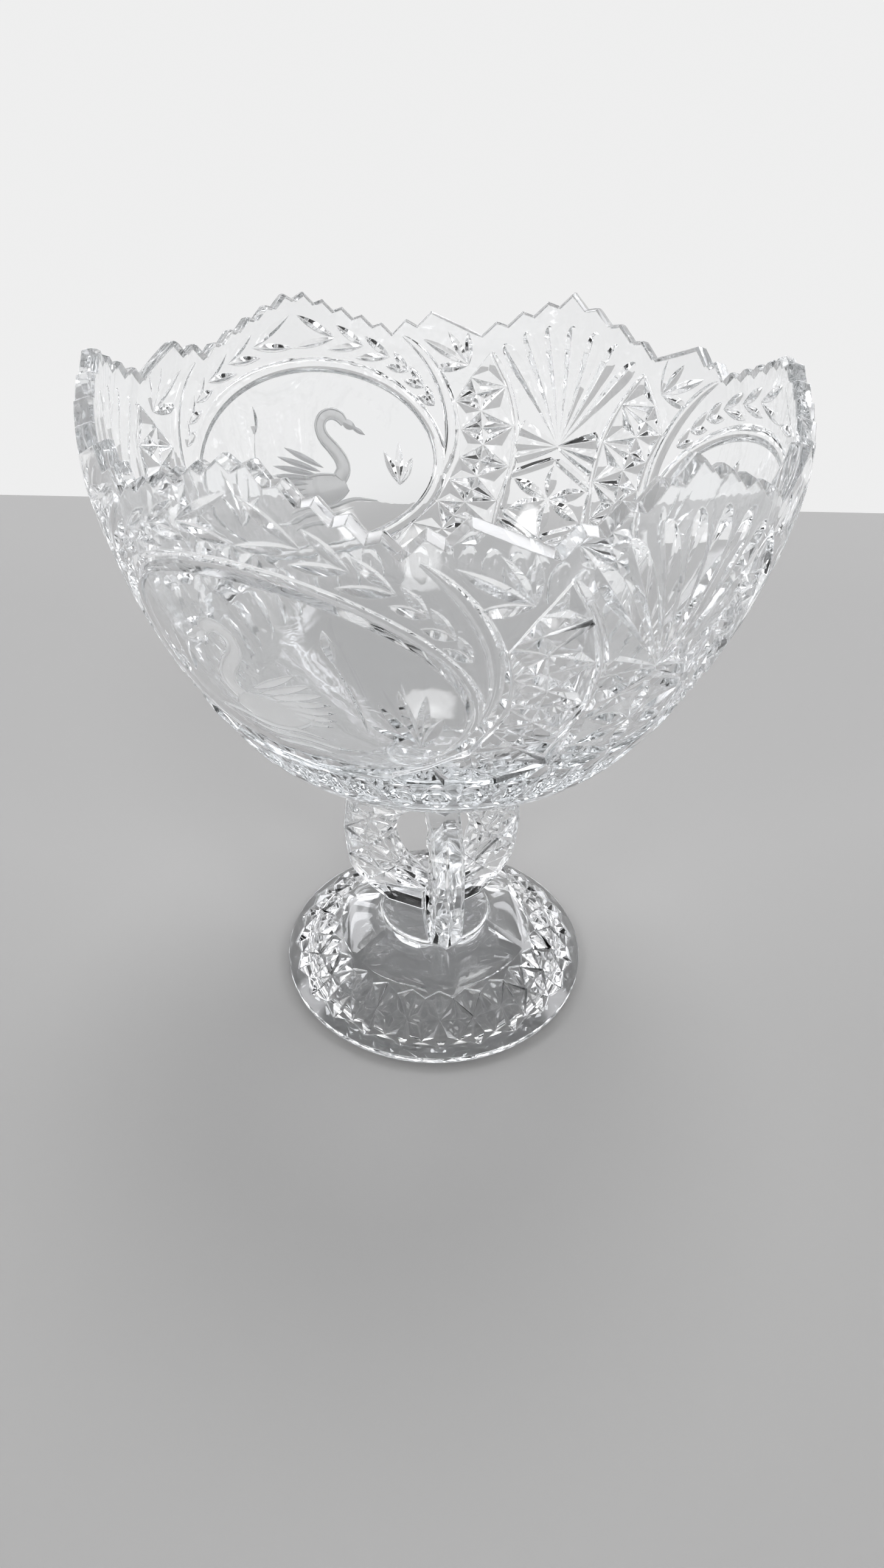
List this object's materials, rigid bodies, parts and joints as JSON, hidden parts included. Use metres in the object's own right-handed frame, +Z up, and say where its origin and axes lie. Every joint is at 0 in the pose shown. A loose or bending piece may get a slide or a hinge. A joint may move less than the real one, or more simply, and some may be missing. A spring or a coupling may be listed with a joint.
{
  "type": "footed cut crystal bowl",
  "caption": "Footed cut crystal bowl: scalloped bowl with medallions, fans and stars, on curved stem arms and a round foot.",
  "frame": {"origin": "middle of the foot's standing face, on the surface that the bowl stands on", "axes": "+Z up along the axis of the foot, the stem and the bowl; +X through the middle of one medallion"},
  "size_m": [0.1994, 0.1996, 0.228],
  "materials": {
    "bowl_crystal": "polished",
    "foot_crystal": "polished",
    "stem_crystal": "polished"
  },
  "bodies": {
    "root": {"bowl": "bowl_crystal", "foot": "foot_crystal", "stem_arm_1": "stem_crystal", "stem_arm_2": "stem_crystal", "stem_arm_3": "stem_crystal"}
  },
  "joints": []
}
